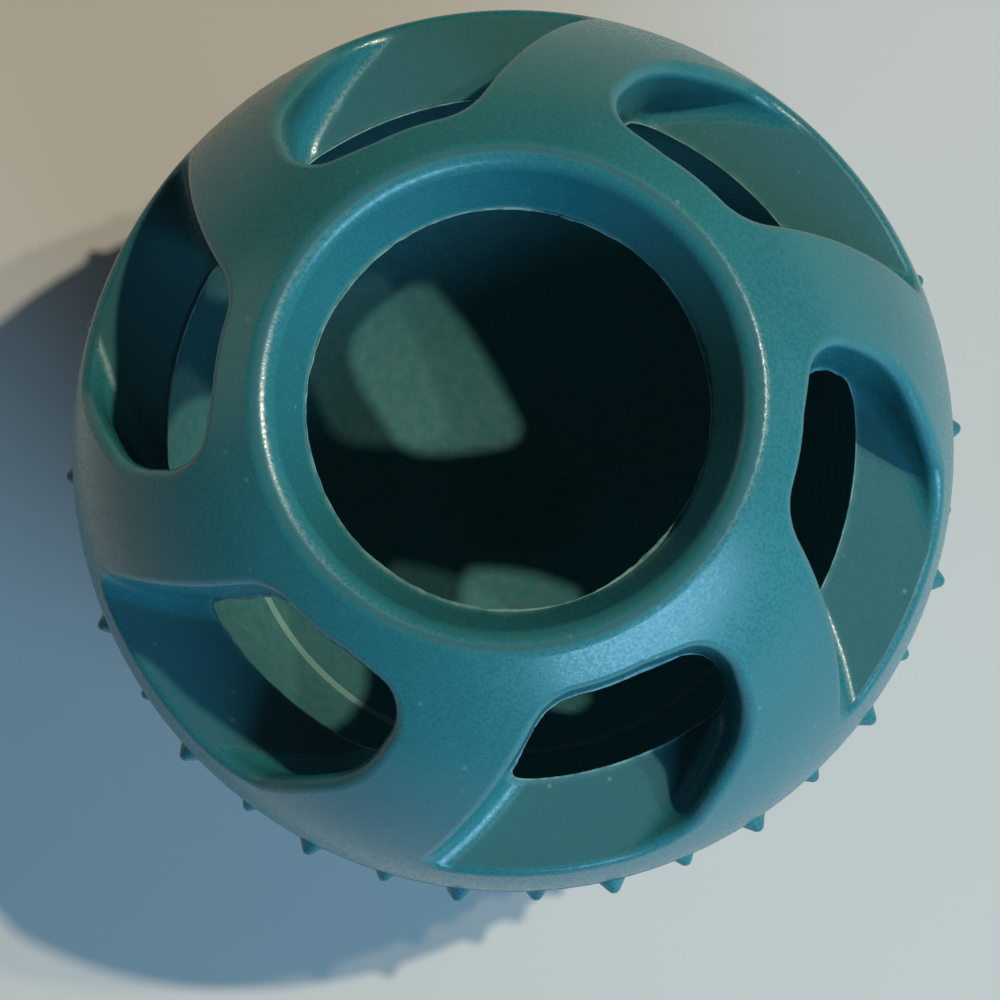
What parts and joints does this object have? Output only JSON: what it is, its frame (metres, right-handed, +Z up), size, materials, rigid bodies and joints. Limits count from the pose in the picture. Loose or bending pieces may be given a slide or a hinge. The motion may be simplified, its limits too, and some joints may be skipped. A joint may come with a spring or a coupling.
{
  "type": "treat dispensing ball",
  "caption": "Hollow teal rubber ball for pet treats, with a wide mouth on top, a ring of swirl-shaped slots that drop treats as it rolls, and a nubbed lower half.",
  "frame": {"origin": "middle of the flat disc that the ball stands on", "axes": "+Z up through the middle of the mouth, +Y away from the viewer, +X to the viewer's right"},
  "size_m": [0.0926, 0.0922, 0.0821],
  "materials": {
    "teal_rubber": "satin moulded rubber"
  },
  "bodies": {
    "bowl": {"nubbed_bowl": "teal_rubber"},
    "dome": {"slotted_dome": "teal_rubber"}
  },
  "joints": [
    {"name": "dome_lift", "type": "slide", "parent": "bowl", "child": "dome", "axis": [0, 0, 1], "range_m": [0, 0.045]}
  ]
}
